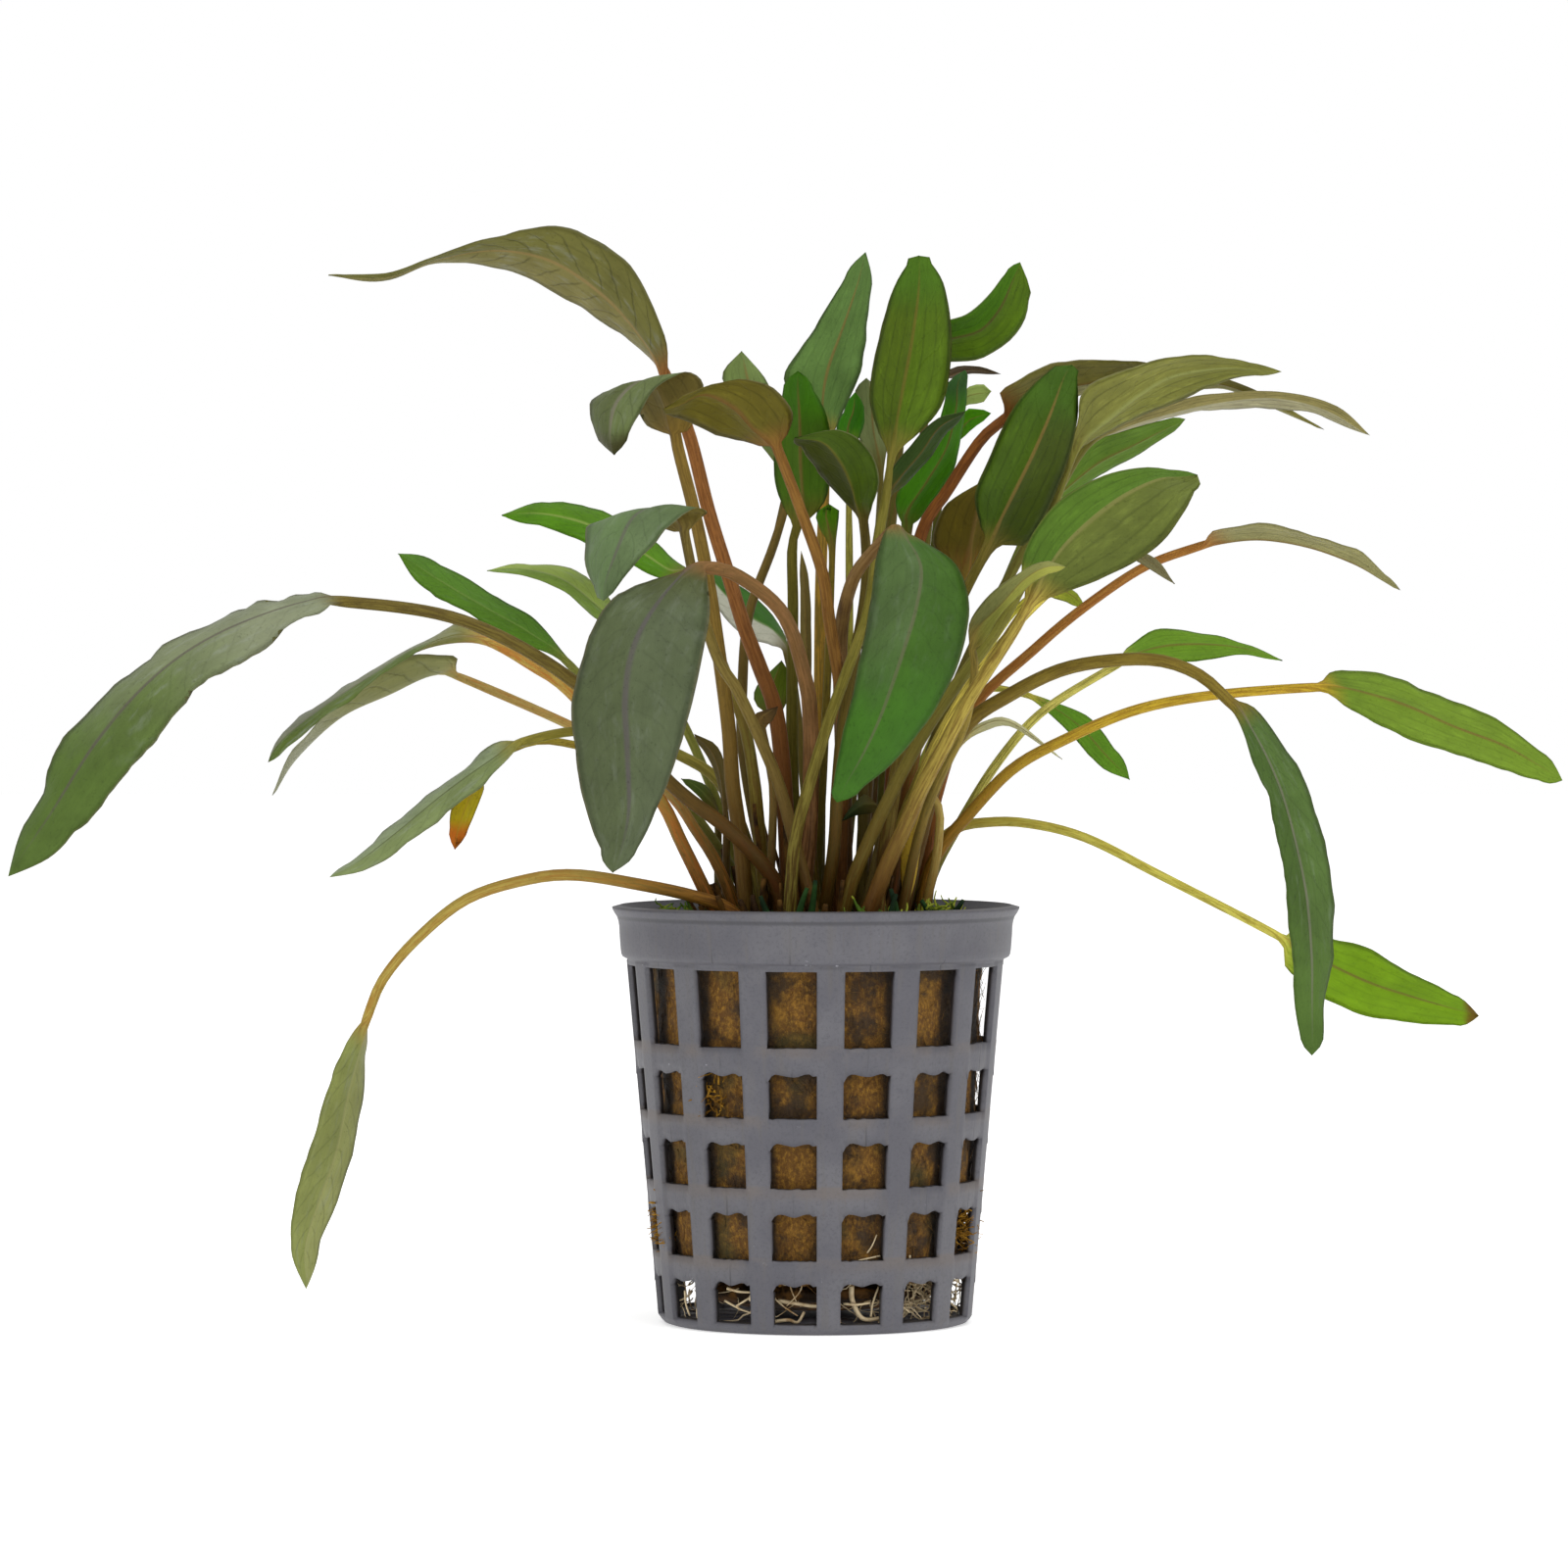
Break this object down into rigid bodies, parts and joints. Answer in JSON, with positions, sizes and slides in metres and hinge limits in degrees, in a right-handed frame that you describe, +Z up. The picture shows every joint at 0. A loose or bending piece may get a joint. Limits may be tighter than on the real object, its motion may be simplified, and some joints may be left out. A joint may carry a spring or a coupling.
{
  "type": "potted aquatic plant",
  "caption": "Potted cryptocoryne: narrow arching leaves fanning out of rock wool in a tapered plastic net pot with square windows.",
  "frame": {"origin": "centre of the underside of the net pot, on the surface that it stands on", "axes": "+Z up out of the pot, +X along the widest spread of the leaves, -Y toward the front"},
  "size_m": [0.1917, 0.075, 0.1347],
  "materials": {
    "pot_plastic": "moulded dark grey polypropylene, satin",
    "wool": "ochre-brown fibrous rock wool, damp",
    "rootstock": "short brown rootstock with old leaf bases and moss",
    "root": "cream living root, slightly glossy",
    "leaf_grey_green": "living leaf, grey-green top with violet-grey midrib",
    "leaf_green": "living leaf, mid green",
    "leaf_olive": "living leaf, olive with lengthwise veins",
    "leaf_brown": "living leaf, brown underside",
    "leaf_sage": "living leaf, pale sage underside",
    "leaf_bright_green": "young living leaf, bright green",
    "leaf_yellow": "dying leaf, yellow with brown specks"
  },
  "bodies": {
    "root": {"net_pot": "pot_plastic", "rock_wool": "wool", "crown": "rootstock", "root_thick_loop": "root", "root_arch": "root", "root_cross": "root", "leaf_far_left_large": "leaf_grey_green", "leaf_left_arch_upper": "leaf_grey_green", "leaf_left_arch_lower": "leaf_olive", "leaf_left_low_folded": "leaf_grey_green", "leaf_back_left_high": "leaf_bright_green", "leaf_back_left_top": "leaf_bright_green", "leaf_back_left_middle": "leaf_bright_green", "leaf_front_left_upper": "leaf_grey_green", "leaf_front_left_large": "leaf_grey_green", "leaf_low_left_hanging": "leaf_sage", "leaf_left_yellow": "leaf_yellow", "leaf_left_small_dark": "leaf_olive", "leaf_left_small_green": "leaf_green", "leaf_long_upper_left": "leaf_olive", "leaf_folded_upper_left": "leaf_olive", "leaf_brown_upper": "leaf_brown", "leaf_behind_brown": "leaf_grey_green", "leaf_centre_bright": "leaf_bright_green", "leaf_upright_blue_green": "leaf_green", "leaf_small_bright_centre": "leaf_bright_green", "leaf_pale_behind_centre": "leaf_sage", "leaf_tall_front": "leaf_olive", "leaf_twisted_top": "leaf_olive", "leaf_thin_dark_edge": "leaf_brown", "leaf_small_dark_front": "leaf_olive", "leaf_diagonal_dark": "leaf_green", "leaf_bright_narrow": "leaf_bright_green", "leaf_pale_tip_behind": "leaf_sage", "leaf_bright_tip_behind": "leaf_bright_green", "leaf_large_front_centre": "leaf_green", "leaf_rolled_spear": "leaf_olive", "leaf_small_spoon": "leaf_bright_green", "leaf_back_green_white": "leaf_green", "leaf_back_small_green": "leaf_bright_green", "leaf_small_withered": "leaf_brown", "leaf_brown_behind_front": "leaf_brown", "leaf_yellow_hanging": "leaf_yellow", "leaf_small_dark_low": "leaf_green", "leaf_large_right_front": "leaf_olive", "leaf_brown_arch_right": "leaf_brown", "leaf_olive_arch_right": "leaf_olive", "leaf_striped_arch_right": "leaf_olive", "leaf_green_blade_right": "leaf_bright_green", "leaf_large_right": "leaf_green", "leaf_small_folded_right": "leaf_green", "leaf_orange_stalk_right": "leaf_olive", "leaf_green_behind_droop": "leaf_bright_green", "leaf_far_right_long": "leaf_bright_green", "leaf_drooping_right": "leaf_grey_green", "leaf_low_right_green": "leaf_bright_green", "leaf_small_green_right": "leaf_green", "leaf_thin_right": "leaf_green", "leaf_small_curl_right": "leaf_sage", "leaf_small_tip_right": "leaf_bright_green"}
  },
  "joints": []
}
